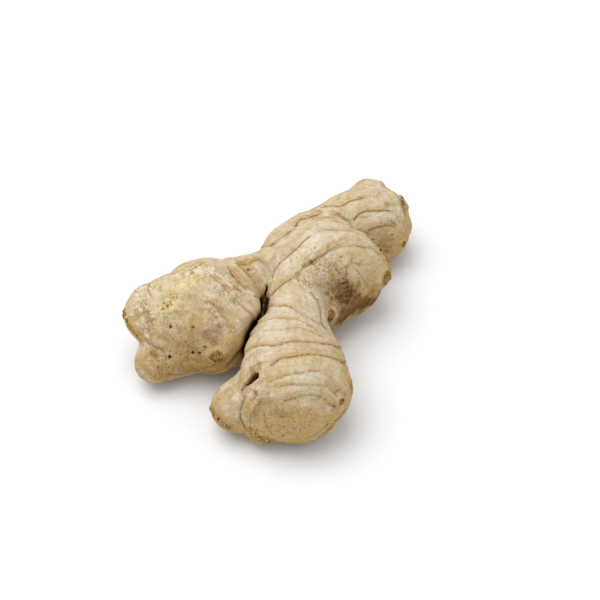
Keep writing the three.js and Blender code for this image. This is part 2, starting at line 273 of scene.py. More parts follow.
# Marks of the skin: kind, half width in millimetres, strength, and the pixels that it passes
MARKS = {
    "tan": [
        (2.2, 0.9, [(240, 264), (250, 262), (259, 260)]), (1.3, 0.7, [(212, 300)]),
        (1.6, 0.6, [(220, 288), (231, 294), (238, 300)]), (1.4, 0.6, [(208, 311), (215, 316)]),
        (1.4, 0.7, [(386, 204), (393, 204)]), (3, 0.6, [(370, 293), (379, 286), (384, 276)]),
        (1.8, 0.7, [(296, 222), (307, 217), (319, 213)]), (2.2, 0.5, [(250, 270), (256, 280), (260, 290)]),
        (1.4, 0.7, [(334, 214), (345, 222), (354, 228)]), (1.6, 0.8, [(290, 432)]),
        (2.6, 0.6, [(349, 385), (347, 405), (337, 424), (320, 438)]),
        (2, 0.6, [(252, 440), (272, 445), (300, 446), (320, 440)]),
        (2.5, 0.5, [(216, 389), (209, 403), (222, 425)]), (4.5, 0.35, [(300, 412), (286, 416)]),
        # From here on, the wide tan marks over the nub, the shoulder, the lower left lobe and the middle
        # lobe's underside are painted shade on these lower parts
        (1.3, 0.9, [(152, 352), (157, 357)]), (6.5, 0.5, [(146, 362), (158, 368), (172, 362)]),
        (5, 0.4, [(222, 396), (226, 414)]), (4, 0.3, [(132, 330), (150, 334)]),
        (6, 0.4, [(168, 345), (186, 356), (206, 360)]), (3, 0.5, [(180, 371), (205, 366)]),
        (3, 0.5, [(200, 310), (190, 322)]), (3.5, 0.8, [(352, 312), (366, 304), (378, 294)]),
        (3.5, 0.6, [(142, 355), (150, 366)]), (5, 0.5, [(338, 306), (352, 312), (370, 298)]),
        (4, 0.35, [(148, 322), (136, 306)]),
    ],
    "grey": [
        (4, 0.45, [(384, 238), (391, 246)]), (3.5, 0.4, [(322, 264), (332, 274)]),
        (1.7, 0.9, [(251, 374), (259, 367)]), (4.5, 0.5, [(190, 338), (197, 356)]),
        # The two marks on this line lie at the edge of the front lobe's end cap and are painted shade of its
        # step
        (1.8, 0.6, [(263, 400), (253, 414)]), (3.5, 0.45, [(282, 412), (274, 402)]),
        (2, 0.5, [(340, 258)]), (6, 0.6, [(328, 274), (343, 288), (352, 302)]),
    ],
    "lilac": [
        (2.2, 1, [(209, 334), (213, 340)]), (2, 1, [(218, 329)]),
    ],
    # Painted shadow on the middle lobe's underside, smooth and dark
    "painted_underside_shadow": [
        (4.2, 1, [(342, 320), (353, 312), (363, 305), (372, 299)]), (3.2, 0.7, [(346, 300), (356, 301)]),
        (2.8, 0.5, [(379, 291)]),
    ],
    "brown": [
        (0.9, 0.5, [(156, 355), (158, 359)]), (2.2, 0.9, [(343, 283), (350, 288), (354, 296)]),
        (1.8, 0.9, [(342, 300), (350, 303)]), (4.2, 0.75, [(336, 290), (347, 295), (357, 299)]),
        (5.5, 0.5, [(334, 284), (348, 292), (352, 302)]), (1.8, 0.7, [(328, 293), (331, 298)]),
        (3, 0.4, [(338, 312), (352, 308)]), (1.6, 1, [(402, 202), (407, 214)]),
        (1.2, 0.7, [(382, 246), (386, 251)]), (0.8, 0.6, [(376, 242), (380, 248)]),
        (1.4, 0.9, [(402, 243)]), (0.9, 0.7, [(241, 363), (240, 369)]), (0.8, 0.8, [(332, 211)]),
        (1.3, 0.6, [(336, 213), (348, 223)]),
    ],
    "yellow": [
        (3.2, 0.8, [(176, 289), (187, 283), (200, 277)]), (2.4, 1, [(156, 314), (163, 309), (172, 302)]),
        (4, 0.4, [(190, 281), (206, 277)]), (7, 0.4, [(146, 302), (160, 290), (178, 276), (198, 268)]),
        (1, 1, [(348, 369), (350, 377)]), (0.8, 0.8, [(209, 280)]),
        (0.9, 0.8, [(323, 309), (323, 317)]),
    ],
    # The pale marks on the tops of the front, middle and rear lobes are painted light where it falls from
    # above; the rest are paler skin
    "pale": [
        (3, 0.4, [(146, 288), (150, 300)]), (2.6, 0.8, [(180, 274), (193, 271), (206, 270)]),
        (5, 0.6, [(284, 296), (276, 318), (272, 345)]), (5.5, 0.9, [(314, 240), (296, 258)]),
        (3, 0.6, [(375, 219), (388, 219)]), (3.5, 0.7, [(236, 298), (243, 312), (247, 326)]),
        (4, 0.6, [(290, 262), (300, 256), (296, 270)]), (3, 0.5, [(300, 379), (318, 379)]),
        (2.5, 0.5, [(247, 408), (250, 400)]),
    ],
    "cork": [
        (2.3, 0.85, [(252, 433), (259, 438), (270, 443)]), (0.9, 1, [(401, 199), (405, 206), (407, 214)]),
        (1.2, 1, [(125, 311), (124, 318), (128, 326)]), (0.7, 0.9, [(128, 327), (134, 334), (142, 341)]),
        (0.9, 1, [(368, 236), (374, 242), (380, 250), (387, 261)]),
        (0.9, 1, [(213, 411), (218, 416), (223, 422), (229, 427)]), (0.6, 0.9, [(210, 407), (212, 410)]),
        (0.8, 1, [(295, 226), (301, 220), (309, 219), (318, 215)]),
        (0.5, 0.7, [(272, 245), (280, 239), (289, 232)]), (0.6, 0.8, [(303, 267), (310, 263), (316, 260)]),
        (0.9, 0.8, [(257, 309), (259, 304)]),
    ],
    "dot": [
        (0.7, 0.8, [(170, 327)]), (0.55, 0.8, [(193, 327)]), (0.7, 1, [(193, 352)]),
        (0.7, 1, [(200, 352)]), (0.7, 1, [(170, 357)]), (0.6, 0.7, [(205, 346)]),
        (0.5, 0.6, [(158, 368)]), (0.5, 0.5, [(176, 353)]), (0.6, 0.7, [(283, 436)]),
        (0.5, 0.5, [(296, 372)]), (0.5, 0.5, [(311, 263)]), (0.5, 0.6, [(310, 293)]),
        (0.5, 0.6, [(317, 300)]), (0.5, 0.6, [(398, 217)]), (0.6, 0.6, [(341, 257)]),
        (0.5, 0.6, [(336, 270)]), (0.5, 0.7, [(297, 226)]), (0.5, 0.7, [(313, 220)]),
        (0.5, 0.7, [(379, 246)]), (0.5, 0.7, [(383, 256)]), (0.5, 0.6, [(218, 398)]),
        (0.55, 0.8, [(347, 297)]), (0.5, 0.8, [(338, 194)]), (0.6, 0.7, [(248, 270)]),
    ],
    "speck": [
        (9, 1, [(180, 340), (195, 352), (175, 362)]), (6, 0.8, [(285, 410), (300, 425), (275, 425)]),
        (5, 0.9, [(388, 240), (395, 232)]), (7, 0.9, [(325, 268), (340, 285), (335, 305)]),
        (4, 0.6, [(225, 375), (235, 385)]), (4, 0.6, [(290, 255), (305, 262), (318, 250)]),
    ],
    "pitted": [
        (2, 1, [(174, 295), (167, 303), (161, 308)]), (1.8, 0.4, [(184, 288), (196, 290)]),
        (2.5, 0.6, [(128, 318), (134, 330)]), (2.5, 0.5, [(262, 436), (275, 442)]),
    ],
    "flake": [
        (5.5, 1, [(148, 285), (142, 300), (145, 318), (152, 328)]),
        (3, 1, [(165, 275), (185, 268), (203, 264)]), (4, 0.7, [(205, 300), (215, 312), (222, 322)]),
        (5, 1, [(186, 274), (206, 272), (220, 280), (232, 292)]),
        (3, 0.7, [(296, 276), (306, 284), (310, 292)]), (4, 0.6, [(318, 262), (328, 274)]),
        (3, 0.7, [(253, 392), (258, 400)]),
    ],
}


def norm(vectors):
    """Length of each vector."""
    return np.linalg.norm(vectors, axis=-1)


def unit(vectors):
    """The vectors scaled to length 1."""
    vectors = np.asarray(vectors, float)
    return vectors / norm(vectors)[..., None]


def smooth_min(a, b, width):
    """The smaller of two values, with the corner between them rounded over the given width."""
    share = np.clip(0.5 + 0.5 * (b - a) / width, 0, 1)
    return b + (a - b) * share - width * share * (1 - share)


def bump(x):
    """A smooth hump: 1 at 0, falling to 0 at -1 and 1, with no corner."""
    return np.clip(1 - x * x, 0, 1) ** 2


def bell(x, width):
    """A smooth hump that fades out to both sides: 1 at 0, and 0.37 at the width."""
    return np.exp(-((x / width) ** 2))


def step(x, low, high):
    """0 below low, 1 above high, and a smooth rise between."""
    t = np.clip((x - low) / (high - low), 0, 1)
    return t * t * (3 - 2 * t)


def noise(points, size, seed):
    """Smooth noise from -1 to 1. Random values sit on the corners of cells of the given size (one number,
    or one for each axis), and a point's value is blended from its cell's corners."""
    table = np.random.default_rng(seed).uniform(-1, 1, 8192)
    scaled = points / np.asarray(size, float)
    cell = np.floor(scaled).astype(np.int64)
    t = scaled - cell
    t = t * t * (3 - 2 * t)
    primes = np.array([73856093, 19349663, 83492791])[: points.shape[1]]
    total = np.zeros(len(points))
    for corner in np.ndindex(*(2,) * points.shape[1]):
        corner = np.array(corner)
        key = np.bitwise_xor.reduce((cell + corner) * primes, axis=1) % len(table)
        total += table[key] * np.prod(np.where(corner, t, 1 - t), axis=1)
    return total


def layered_noise(points, size, seed, layers=3):
    """Noise summed over layers, each at half the size and about half the height of the one before."""
    total = np.zeros(len(points))
    for layer in range(layers):
        total += noise(points, np.asarray(size, float) / 2**layer, seed + layer) * 0.55**layer
    return total


def curve(points, count):
    """A Catmull-Rom curve through the points, whose rows may carry a radius too: on each stretch the usual
    cubic of the four nearest points, with mirrored points past both ends."""
    points = np.asarray(points, float)
    points = np.vstack([2 * points[0] - points[1], points, 2 * points[-1] - points[-2]])
    place = np.linspace(0, len(points) - 3, count)
    first = np.minimum(place.astype(int), len(points) - 4)
    t = (place - first)[:, None]
    a, b, c, d = (points[first + i] for i in range(4))
    return 0.5 * (2 * b + (c - a) * t + (2 * a - 5 * b + 4 * c - d) * t**2 + (3 * b - a - 3 * c + d) * t**3)


def arc_of(line):
    """How far along a line of points each of them is."""
    return np.append(0, np.cumsum(norm(np.diff(line, axis=0))))


def nearest_on(line, points):
    """The place of a line of points that is nearest to each point: the number of its stretch, the share
    of that stretch before it, and the way from there to the point."""
    stretch = np.diff(line, axis=0)
    share = np.einsum("nij,ij->ni", points[:, None] - line[:-1], stretch)
    share = np.clip(share / np.maximum((stretch**2).sum(1), 1e-9), 0, 1)
    offset = points[:, None] - (line[:-1] + stretch * share[..., None])
    nearest = (offset**2).sum(2).argmin(1)
    row = np.arange(len(points))
    return nearest, share[row, nearest], offset[row, nearest]


class Lobe:
    """A chain of spheres along a curve, with the places on its skin."""

    def __init__(self, spine, fillet=((0, 3),), face=None, growth=None, rings=(), lean=(0, 1)):
        self.fillet = np.array(fillet, float)
        self.lean = lean
        self.rings = np.array(rings, float)
        spheres = curve(spine, SPINE_SPHERES)
        self.centres = spheres[:, :3]
        self.radii = spheres[:, 3]
        self.low = (self.centres - self.radii[:, None]).min(0)
        self.high = (self.centres + self.radii[:, None]).max(0)
        self.face = face
        self.line = self.centres if growth is None else np.linspace(*np.asarray(growth, float), 8)
        self.arc = arc_of(self.line)
        self.along = unit(np.gradient(self.line, self.arc, axis=0))
        self.length = self.arc[-1]
        self.tip_reach = self.reach(self.line[-1], self.along[-1])
        self.base_reach = self.reach(self.line[0], -self.along[0])

    def distance(self, points):
        """Distance from the bare lobe, under 0 inside: the nearest sphere, cut by the dome of its face."""
        nearest = np.full(len(points), np.inf)
        for centre, radius in zip(self.centres, self.radii):
            offset = points - centre
            nearest = np.minimum(nearest, np.sqrt(np.einsum("ij,ij->i", offset, offset)) - radius)
        if self.face is None:
            return nearest
        point, out, dome, rounding = self.face
        offset = points - np.array(point, float)
        above = offset @ unit(out)
        sideways = (offset**2).sum(1) - above**2
        above = (above + sideways / (2 * dome)) / np.sqrt(1 + sideways / dome**2)
        return -smooth_min(-nearest, -above, rounding)

    def fillet_at(self, points):
        """Width of the crease to the lobes before this one."""
        return np.interp(points[:, 1], *self.fillet.T)

    def reach(self, start, direction):
        """How far the bare lobe reaches from an inner point in a direction."""
        travelled = 0.0
        for _ in range(60):
            travelled -= self.distance((start + direction * travelled)[None])[0]
        return travelled

    def place(self, points):
        """Distance along the growth line and angle from the top of each point. Past an end of the line the
        distance grows with the sine of the point's tilt, up to the lobe's reach there."""
        nearest, share, offset = nearest_on(self.line, points)
        distance = self.arc[nearest] + share * np.diff(self.arc)[nearest]
        share = share[:, None]
        along = unit(self.along[nearest] * (1 - share) + self.along[nearest + 1] * share)
        top = unit(np.array([0, 0, 1.0]) - along[:, 2:] * along)
        side = np.cross(along, top)
        angle = np.arctan2((offset * side).sum(1), (offset * top).sum(1))
        tilt = (offset * along).sum(1) / norm(offset)
        past_tip = distance >= self.length - 1e-6
        past_base = distance <= 1e-6
        distance = np.where(past_tip, self.length + self.tip_reach * np.maximum(tilt, 0), distance)
        distance = np.where(past_base, self.base_reach * np.minimum(tilt, 0), distance)
        amount, fade = self.lean
        lean = amount * np.sin(angle)
        distance = np.where(distance < fade, (distance + lean) / (1 + lean / fade), distance)
        return distance, angle

    def waver(self, distance, angle):
        """How far a ring wanders along the lobe at an angle."""
        wave = np.sin(2 * angle + distance / 7) + 0.6 * np.sin(5 * angle - distance / 4)
        to_end = np.minimum(self.length + self.tip_reach - distance, distance + self.base_reach)
        return RING_WAVER * wave * np.clip(to_end / 10, 0, 1)


lobes = {name: Lobe(**shape) for name, shape in LOBES.items()}


def body_distance(points):
    """Distance from the whole root, up to a limit: the lobes' distances, joined by smooth minimums, which
    fill the creases between lobes with fillets. A lobe is left out where its box is too far to matter."""
    total = np.full(len(points), FAR)
    for lobe in lobes.values():
        apart = np.maximum(lobe.low - points, points - lobe.high)
        close = norm(np.maximum(apart, 0)) < total + BOX_MARGIN
        near = points[close]
        total[close] = smooth_min(total[close], lobe.distance(near), lobe.fillet_at(near))
    return total


def level_surface(spacing, margin=4.0):
    """The surface where the body's distance is 0, as points and four-sided faces. A grid of cells is laid
    over the body. Its blocks that are far from the surface get the distance of their middle. A cell that
    the surface crosses holds one point, the mean of where it cuts the cell's edges, and each grid edge that
    it cuts gives one face, between the four cells round that edge."""
    low = np.min([lobe.low for lobe in lobes.values()], axis=0) - margin
    high = np.max([lobe.high for lobe in lobes.values()], axis=0) + margin
    blocks = np.ceil((high - low) / (BLOCK * spacing)).astype(int)
    block = np.array(list(np.ndindex(*blocks)))
    middle = body_distance(low + spacing * (BLOCK * block + (BLOCK - 1) / 2))
    values = middle.reshape(blocks)
    for axis in range(3):
        values = values.repeat(BLOCK, axis)
    inner = np.array(list(np.ndindex(BLOCK, BLOCK, BLOCK)))
    close = block[np.abs(middle) < BLOCK * spacing * 0.87 + 2.5]
    index = (BLOCK * close[:, None] + inner).reshape(-1, 3)
    values[tuple(index.T)] = body_distance(low + spacing * index)
    inside = values < 0
    counts = values.shape

    corners = [np.array(c) for c in np.ndindex(2, 2, 2)]

    def at(corner, array):
        return array[tuple(slice(c, n - 1 + c) for c, n in zip(corner, counts))]

    filled = sum(at(c, inside).astype(int) for c in corners)
    crossed = (filled > 0) & (filled < 8)
    number = np.full(crossed.shape, -1)
    number[crossed] = np.arange(crossed.sum())
    total = np.zeros((crossed.sum(), 3))
    cuts = np.zeros(crossed.sum())
    for corner in corners:
        for axis in np.flatnonzero(corner == 0):
            far = corner + np.eye(3, dtype=int)[axis]
            here = at(corner, values)[crossed]
            there = at(far, values)[crossed]
            cut = (here < 0) != (there < 0)
            share = np.where(cut, here / np.where(cut, here - there, 1), 0)
            total += (corner + np.eye(3)[axis] * share[:, None]) * cut[:, None]
            cuts += cut
    points = low + spacing * (np.argwhere(crossed) + total / cuts[:, None])

    faces = []
    for axis in range(3):
        b, c = np.eye(3, dtype=int)[(axis + 1) % 3], np.eye(3, dtype=int)[(axis + 2) % 3]
        before = np.take(inside, range(counts[axis] - 1), axis=axis)
        after = np.take(inside, range(1, counts[axis]), axis=axis)
        edge = np.argwhere(before != after)
        around = [edge - b - c, edge - c, edge, edge - b]
        quads = np.stack([number[tuple(cell.T)] for cell in around], axis=1)
        leaving = before[tuple(edge.T)]
        quads[~leaving] = quads[~leaving][:, ::-1]
        faces.append(quads)
    return points, np.concatenate(faces)


def split_in_four(points, faces):
    """Each four-sided face split in four, with new points at the middles of its edges and of itself."""
    edges = np.sort(np.stack([faces, np.roll(faces, -1, axis=1)], axis=2).reshape(-1, 2), axis=1)
    unique, edge_number = np.unique(edges, axis=0, return_inverse=True)
    edge_number = edge_number.reshape(-1, 4) + len(points)
    middle = points[faces].mean(1)
    middle_number = np.arange(len(faces)) + len(points) + len(unique)
    points = np.concatenate([points, points[unique].mean(1), middle])
    new = [
        np.stack([faces[:, i], edge_number[:, i], middle_number, edge_number[:, i - 1]], axis=1)
        for i in range(4)
    ]
    return points, np.concatenate(new)


def normals(points, faces):
    """Outward direction at each point: the sum over its faces of the cross product of their diagonals."""
    a, b, c, d = (points[faces[:, i]] for i in range(4))
    across = np.cross(c - a, d - b)
    total = np.stack(
        [sum(np.bincount(faces[:, i], across[:, axis], len(points)) for i in range(4)) for axis in range(3)],
        axis=1,
    )
    return unit(total)


def to_surface(points, faces, rounds):
    """The points moved along their normals until they lie on the body's surface."""
    for _ in range(rounds):
        points = points - normals(points, faces) * body_distance(points)[:, None]
    return points


# Directions of the photograph's camera
FORWARD = np.array([0, np.cos(ELEVATION), -np.sin(ELEVATION)])
RIGHT = np.array([1.0, 0, 0])
UP = np.cross(RIGHT, FORWARD)
EYE = AIM - CAMERA_DISTANCE * FORWARD


def pixels_of(points):
    """Where the photograph shows each point, in pixels, and its depth."""
    offset = points - EYE
    depth = offset @ FORWARD
    x = PHOTO_SIZE / 2 + FOCAL_PIXELS * (offset @ RIGHT) / depth
    y = PHOTO_SIZE / 2 - FOCAL_PIXELS * (offset @ UP) / depth
    return x, y, depth


def skin_at(pixels):
    """The points of the skin that the photograph shows at pixels: along each pixel's ray, stepping by the
    body's distance. A ray that passes the body gives the point where it is nearest."""
    x, y = (np.asarray(pixels, float) - PHOTO_SIZE / 2).T / FOCAL_PIXELS
    ray = unit(FORWARD + x[:, None] * RIGHT - y[:, None] * UP)
    travelled = np.full(len(ray), CAMERA_DISTANCE - RAY_START)
    best = travelled.copy()
    least = np.full(len(ray), np.inf)
    for _ in range(RAY_STEPS):
        gap = body_distance(EYE + ray * travelled[:, None])
        closer = gap < least
        best = np.where(closer, travelled, best)
        least = np.minimum(least, gap)
        travelled = travelled + np.where(least > RAY_CLOSE, np.maximum(gap, RAY_LEAST), 0)
    return EYE + ray * best[:, None]


points, faces = level_surface(GRID)
points = to_surface(points, faces, 2)
points, faces = split_in_four(points, faces)
points = to_surface(points, faces, 2)
outward = normals(points, faces)

# How far each point is from each lobe, and how much it belongs to it
names = list(lobes)
gaps = np.stack([lobe.distance(points) for lobe in lobes.values()], axis=1)
belongs = np.exp(-(gaps - gaps.min(1)[:, None]) / LOBE_BLEND)
belongs /= belongs.sum(1, keepdims=True)
places = {name: lobe.place(points) for name, lobe in lobes.items()}

# How well the photograph shows each point: 0 where it faces away or another lobe hides it
photo_x, photo_y, depth = pixels_of(points)
cell = (photo_y // SQUARE).astype(int) * PHOTO_SIZE + (photo_x // SQUARE).astype(int)
nearest_depth = np.full(PHOTO_SIZE**2, np.inf)
np.minimum.at(nearest_depth, cell, depth)
seen = step(-(outward @ FORWARD), 0.0, 0.3) * (depth < nearest_depth[cell] + HIDDEN_DEPTH)


def traced(rows):
    """Each row's values, and its pixels as a line on the skin with a point about every 2 pixels."""
    dense = []
    for *_, line in rows:
        line = np.asarray(line, float)
        if len(line) > 1:
            line = curve(line, max(int(arc_of(line)[-1] / 2), 3))
        dense.append(line)
    skin = skin_at(np.concatenate(dense))
    lines = np.split(skin, np.cumsum([len(line) for line in dense])[:-1])
    return [(row[:-1], line) for row, line in zip(rows, lines)]


def beside(line, reach):
    """For the points within reach of a line on the skin: their numbers, distance from it (over 0 on the
    right of it, seen from outside), and distance along it from its nearer end."""
    low = line.min(0) - reach
    high = line.max(0) + reach
    number = np.flatnonzero(((points > low) & (points < high)).all(1))
    near = points[number]
    if len(line) == 1:
        gap = norm(near - line[0])
        return number, gap, gap
    nearest, share, offset = nearest_on(line, near)
    side = np.cross(np.diff(line, axis=0)[nearest], outward[number])
    sign = np.sign((side * offset).sum(1))
    arc = arc_of(line)
    along = arc[nearest] + share * np.diff(arc)[nearest]
    return number, norm(offset) * sign, np.minimum(along, arc[-1] - along)


def keep_nearest(offset, strength, number, x, power, close):
    """Writes a line's distances and strengths for the numbered points that are close to it, where no line
    before it is nearer."""
    closer = (np.abs(x) < np.abs(offset[number])) & close
    offset[number] = np.where(closer, x, offset[number])
    strength[number] = np.where(closer, power, strength[number])


ring_offset = np.full(len(points), 4.0)
ring_strength = np.zeros(len(points))
height = np.zeros(len(points))

# Rings all round each lobe: the skin rises slowly to a ring and steps down past it, with a groove at the
# foot of the step. Where the photograph shows the skin, these give way to the rings that it shows.
wander = layered_noise(points, 9.0, 11)
hidden = 1 - seen
for number, (name, lobe) in enumerate(lobes.items()):
    if not len(lobe.rings):
        continue
    distance, angle = places[name]
    distance = distance - lobe.waver(distance, angle) + 0.4 * wander
    rings = lobe.rings
    after = np.clip(np.searchsorted(rings, distance), 1, max(len(rings) - 1, 1))
    low = rings[after - 1]
    high = rings[np.minimum(after, len(rings) - 1)]
    between = (distance > rings[0]) & (distance < rings[-1])
    share = np.clip((distance - low) / np.maximum(high - low, 1e-6), 0, 1)
    nearest = rings[np.abs(distance[:, None] - rings).argmin(1)]
    x = distance - nearest
    around = np.stack([np.cos(angle) * 9, np.sin(angle) * 9, nearest * 3], axis=1)
    power = np.clip(0.5 + 0.8 * noise(around, 5.0, 21), 0.05, 1) * hidden
    weight = belongs[:, number]
    ramp = (RING_STEP * share**2 + RING_BULGE * np.sin(np.pi * share)) * between
    before = RING_STEP * 0.5 * np.exp(-np.clip(rings[0] - distance, 0, None) / 3) * (distance <= rings[0])
    soften = step(np.abs(x), 0, RING_EDGE)
    groove = 0.12 * bell(x + 0.45, 0.4) - RING_GROOVE * bell(x - 0.25, 0.35)
    height += weight * ((ramp + before) * soften * (0.45 + 0.55 * hidden) + power * groove)
    power = power * step(weight, 0.35, 0.7)
    keep_nearest(ring_offset, ring_strength, slice(None), x, power, (weight > 0.35) & (hidden > 0.02))

# Rings that the photograph shows
tremble = 0.22 * layered_noise(points, 3.0, 131)
ring_power = np.clip(0.75 + 0.7 * noise(points, 5.0, 141), 0.15, 1.2)
for (strength,), line in traced(RINGS_SEEN):
    number, x, along = beside(line, 6.0)
    x = x + tremble[number]
    power = strength * step(along, 0, 2.5) * step(-np.abs(x), -6, -4)
    rise = 0.4 * np.exp(-np.abs(x) / 2.2) * np.where(x < 0, 1, -0.8) * step(np.abs(x), 0, 0.4)
    groove = 0.1 * bell(x + 0.45, 0.35) - 0.2 * bell(x - 0.2, 0.35)
    height[number] += power * (rise + groove)
    power = strength * ring_power[number] * step(along, 0, 1.5)
    keep_nearest(ring_offset, ring_strength, number, x, power, along > 0.01)

# Creases and cracks, as a distance from the line in half widths
crack_offset = np.full(len(points), 6.0)
crack_strength = np.zeros(len(points))
for (width, strength), line in traced(CRACKS):
    number, x, along = beside(line, 3.0)
    x = x + 0.6 * tremble[number]
    power = strength * step(along, 0, 1.2)
    height[number] -= power * (0.15 + 0.7 * width) * bell(x, width + 0.15)
    keep_nearest(crack_offset, crack_strength, number, x / width, power, along > 0.01)

# Marks: a mask for each kind, 1 in the middle and 0 past a ragged edge
marks = {kind: np.zeros(len(points)) for kind in MARKS}
ragged = layered_noise(points, 2.4, 101)
for kind, mark in marks.items():
    soft = 0.45 if kind in ("cork", "dot") else 0.9
    for (width, strength), line in traced(MARKS[kind]):
        number, x, _ = beside(line, 1.6 * width)
        rho = np.abs(x) / width + 0.3 * ragged[number] * min(width, 1.5)
        mark[number] = np.maximum(mark[number], strength * step(-rho, -1.15, -1.15 + soft))

# Small forms, with a smooth fall to each side
for (rise, width), line in traced(FORMS):
    number, x, _ = beside(line, width)
    height[number] += rise * bump(x / width)

height += marks["cork"] * (0.15 + 0.4 * layered_noise(points, 1.4, 61, 2))
height -= 0.3 * marks["dot"]


def lump(points):
    """Slow unevenness of the body: the sum of two crossed waves of about 20 to 50 mm."""
    x, y, z = points.T
    broad = np.sin(x / 6.1 + 1.7 * np.sin(y / 8.3)) * np.cos(z / 6.7 + x / 11)
    fine = np.sin(y / 4.3 + z / 5.3 + 2) * np.sin(x / 4.9 - z / 7.1)
    return LUMP_HEIGHT * (broad + 0.6 * fine)


height += lump(points)
height += 0.22 * layered_noise(points, 7.0, 31) + 0.06 * layered_noise(points, 2.2, 41)

# Buds: a low dome with two rims of scales, broken up round it, and a point in the middle
bud_place = np.full(len(points), 3.0)
for (_, radius, rise), centre in zip(BUDS, skin_at([pixel for pixel, _, _ in BUDS])):
    rho = norm(points - centre) / radius
    rho = rho + 0.2 * layered_noise(points, 1.6, 151, 2)
    scales = 1 + 0.6 * noise(points, 0.9, 161)
    height += rise * bump(rho / 1.7)
    height += scales * 0.45 * bell(rho - 0.8, 0.17)
    height -= scales * 0.25 * bell(rho - 0.52, 0.15)
    height += scales * 0.35 * bell(rho, 0.3)
    bud_place = np.minimum(bud_place, rho)

# Fibres along each lobe and fine wrinkles round it
for number, (name, lobe) in enumerate(lobes.items()):
    distance, angle = places[name]
    unrolled = np.stack([distance, angle * 11], axis=1)
    rounds = noise(unrolled, (0.95, 7.0), 71)
    lengths = noise(unrolled, (8.0, 1.5), 81)
    height += belongs[:, number] * (0.07 * rounds + 0.07 * lengths)

# The wound: a slit with a raised rim, kept to this side of the root
pixel, length, width, deep, turn = WOUND
centre = skin_at([pixel])[0]
turn = np.radians(turn)
slit = unit(np.cos(turn) * RIGHT + np.sin(turn) * UP)
offset = points - centre
across = unit(np.cross(slit, -FORWARD))
along = offset @ slit / (length / 2)
rho = np.hypot(along, offset @ across / (width / 2) / np.clip(0.75 + 0.45 * along, 0.2, 1.2))
rho = rho + 0.2 * noise(points, 1.2, 91)
rho = rho + 6 * (norm(offset) > length)
wound = step(-rho, -1.05, -0.75)
height += -deep * wound + 0.4 * bump((rho - 1.5) / 0.6)

moved = points + outward * height[:, None]
moved[:, 2] = np.maximum(moved[:, 2], FLOOR_LEVEL)

# How closely other skin stands in front of each point, which sets the shade painted into the creases, and
# where it faces down
painted_crease_shade = 1 - np.clip(body_distance(points + SHELTER_REACH * outward) / SHELTER_REACH, 0, 1)
# Faces that look down get painted shade: a golden tint and denser brown specks
under = step(-outward[:, 2], -0.9, 0.2)

# The worn end of each main lobe
face = np.zeros(len(points))
for name, rim in FACE_RIMS.items():
    ragged_rim = places[name][0] + 1.2 * layered_noise(points, 6.0, 111)
    face = np.maximum(face, step(ragged_rim, rim - 2, rim + 2) * belongs[:, names.index(name)])

# A place on the lobe that each point belongs to most, as distance and angle for streaks along the lobe
home = belongs.argmax(1)
lobe_distance = np.choose(home, [places[name][0] for name in names])
lobe_angle = np.choose(home, [places[name][1] for name in names])
lobe_place = np.stack([lobe_distance + 70 * home, 15 * np.cos(lobe_angle), 15 * np.sin(lobe_angle)], axis=1)

masks = {
    "ring": ring_offset,
    "ring_strength": ring_strength,
    "crack": crack_offset,
    "crack_strength": crack_strength,
    "face": face,
    "bud_place": bud_place,
    "wound": wound,
    "painted_crease_shade": painted_crease_shade,
    "under": under,
    **marks,
}


def linear(hex_colour):
    """An sRGB hex colour as linear red, green, blue and alpha."""
    srgb = np.array([int(hex_colour[i : i + 2], 16) / 255 for i in (1, 3, 5)])
    rgb = np.where(srgb <= 0.04045, srgb / 12.92, ((srgb + 0.055) / 1.055) ** 2.4)
    return (*rgb, 1.0)


def add_object(name, data):
    """A new object of the scene, at the origin."""
    item = bpy.data.objects.new(name, data)
    bpy.context.scene.collection.objects.link(item)
    return item


def add_node(tree, kind, settings=None, **inputs):
    """A shader node with its settings, and its inputs set to values or linked to other nodes' outputs. An
    input that has no name of its own is given as input_ and its number."""
    node = tree.nodes.new("ShaderNode" + kind)
    for name, value in (settings or {}).items():
        setattr(node, name, value)
    for name, value in inputs.items():
        key = name.replace("_", " ")
        socket = node.inputs[int(key.split()[1])] if key.startswith("input ") else node.inputs[key]
        if isinstance(value, bpy.types.NodeSocket):
            tree.links.new(value, socket)
        else:
            socket.default_value = value
    return node


def root_piece():
    """The root's mesh, moved from the lobes' own coordinates into the frame and scaled to metres, with the
    masks that its material reads as attributes of its points."""
    low, high = (np.array(corner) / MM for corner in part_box(NODE))
    shift = (low + high) / 2 - (moved.min(0) + moved.max(0)) / 2
    shift[2] = 0
    mesh = bpy.data.meshes.new("ginger_skin")
    mesh.from_pydata(((moved + shift) * MM).astype(np.float32), [], faces)
    mesh.polygons.foreach_set("use_smooth", np.ones(len(faces), bool))
    for name, values in masks.items():
        attribute = mesh.attributes.new(name, "FLOAT", "POINT")
        attribute.data.foreach_set("value", values.astype(np.float32))
    attribute = mesh.attributes.new("lobe_place", "FLOAT_VECTOR", "POINT")
    attribute.data.foreach_set("vector", lobe_place.astype(np.float32).ravel())
    piece = add_object("ginger_skin", mesh)
    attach(piece, "root")
    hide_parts(NODE)
    return piece, shift


